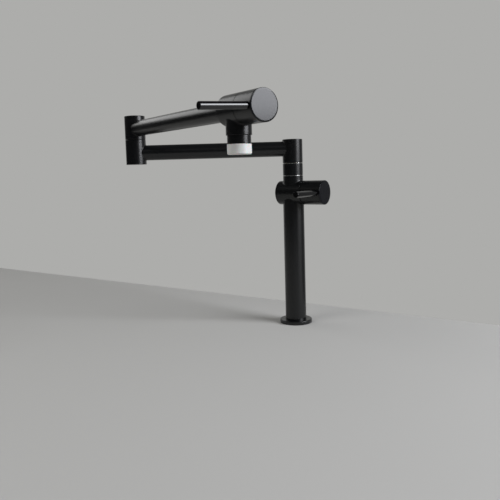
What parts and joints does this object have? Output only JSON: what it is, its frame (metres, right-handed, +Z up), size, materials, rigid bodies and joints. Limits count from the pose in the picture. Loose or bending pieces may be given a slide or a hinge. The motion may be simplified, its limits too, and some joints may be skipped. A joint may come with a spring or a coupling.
{
  "type": "pot filler tap",
  "caption": "Deck-mounted pot filler tap: a column with a lever valve, jointed arms that swing over the hob, and another lever valve over the aerated outlet.",
  "frame": {"origin": "on the worktop plane at the column's axis, at the middle of the flange's underside", "axes": "+X along the lower barrel towards its knob, parallel to the wall; +Y towards the wall; +Z up"},
  "size_m": [0.3516, 0.3719, 0.4008],
  "materials": {
    "satin_black": "satin black plated and lacquered brass",
    "gloss_black": "gloss black plated stainless rod",
    "white_plastic": "moulded white acetal, light gloss",
    "bright_washer": "polished thin washer",
    "black_acetal": "matte black acetal",
    "black_rubber": "matte black rubber",
    "brass": "turned brass",
    "stainless_steel": "plain stainless steel",
    "ceramic_white": "lapped alumina"
  },
  "bodies": {
    "root": {"base_flange": "satin_black", "base_gasket": "black_rubber", "mounting_shank": "brass", "column_foot_o_ring": "black_rubber", "rubber_washer": "black_rubber", "steel_washer": "stainless_steel", "shank_nut": "brass", "column_tube": "satin_black", "lower_valve_body": "satin_black", "column_top_o_ring": "black_rubber", "column_post": "brass", "column_post_o_rings": "black_rubber", "collar_lower_washer": "bright_washer", "swivel_collar": "satin_black", "collar_upper_washer": "bright_washer", "lower_seat_seal": "black_rubber", "lower_headwork_housing": "brass", "lower_fixed_disc": "ceramic_white"},
    "arm_1": {"arm_1_hub": "satin_black", "arm_1_grub_screw": "stainless_steel", "arm_1_tube": "satin_black", "knuckle_lower": "satin_black", "knuckle_post": "brass", "knuckle_post_o_rings": "black_rubber", "knuckle_washer": "black_acetal"},
    "arm_2": {"knuckle_upper": "satin_black", "arm_2_grub_screw": "stainless_steel", "arm_2_tube": "satin_black", "spout_valve_body": "satin_black", "aerator_housing": "satin_black", "aerator_gasket": "black_rubber", "aerator_ring": "white_plastic", "aerator_insert": "white_plastic", "aerator_screen": "stainless_steel", "spout_seat_seal": "black_rubber", "spout_headwork_housing": "brass", "spout_fixed_disc": "ceramic_white"},
    "lower_handle": {"lower_turning_disc": "ceramic_white", "lower_spindle": "brass", "lower_spindle_o_ring": "black_rubber", "lower_knob": "satin_black", "lower_handle_screw": "stainless_steel", "lower_end_cap": "satin_black", "lower_lever": "gloss_black"},
    "spout_handle": {"spout_turning_disc": "ceramic_white", "spout_spindle": "brass", "spout_spindle_o_ring": "black_rubber", "spout_knob": "satin_black", "spout_handle_screw": "stainless_steel", "spout_end_cap": "satin_black", "spout_lever": "gloss_black"}
  },
  "joints": [
    {"name": "arm_1_swivel", "type": "hinge", "parent": "root", "child": "arm_1", "pos_m": [0, 0, 0.2828], "axis": [0, 0, 1], "range_deg": [-180, 180]},
    {"name": "arm_2_swivel", "type": "hinge", "parent": "arm_1", "child": "arm_2", "pos_m": [-0.20378, -0.14482, 0.3209], "axis": [0, 0, 1], "continuous": true},
    {"name": "lower_valve_turn", "type": "hinge", "parent": "root", "child": "lower_handle", "pos_m": [0.0213, 0, 0.2125], "axis": [1, 0, 0], "range_deg": [0, 90]},
    {"name": "spout_valve_turn", "type": "hinge", "parent": "arm_2", "child": "spout_handle", "pos_m": [0.09156, -0.25997, 0.3209], "axis": [0.9317, -0.3633, 0], "range_deg": [-90, 0]}
  ]
}
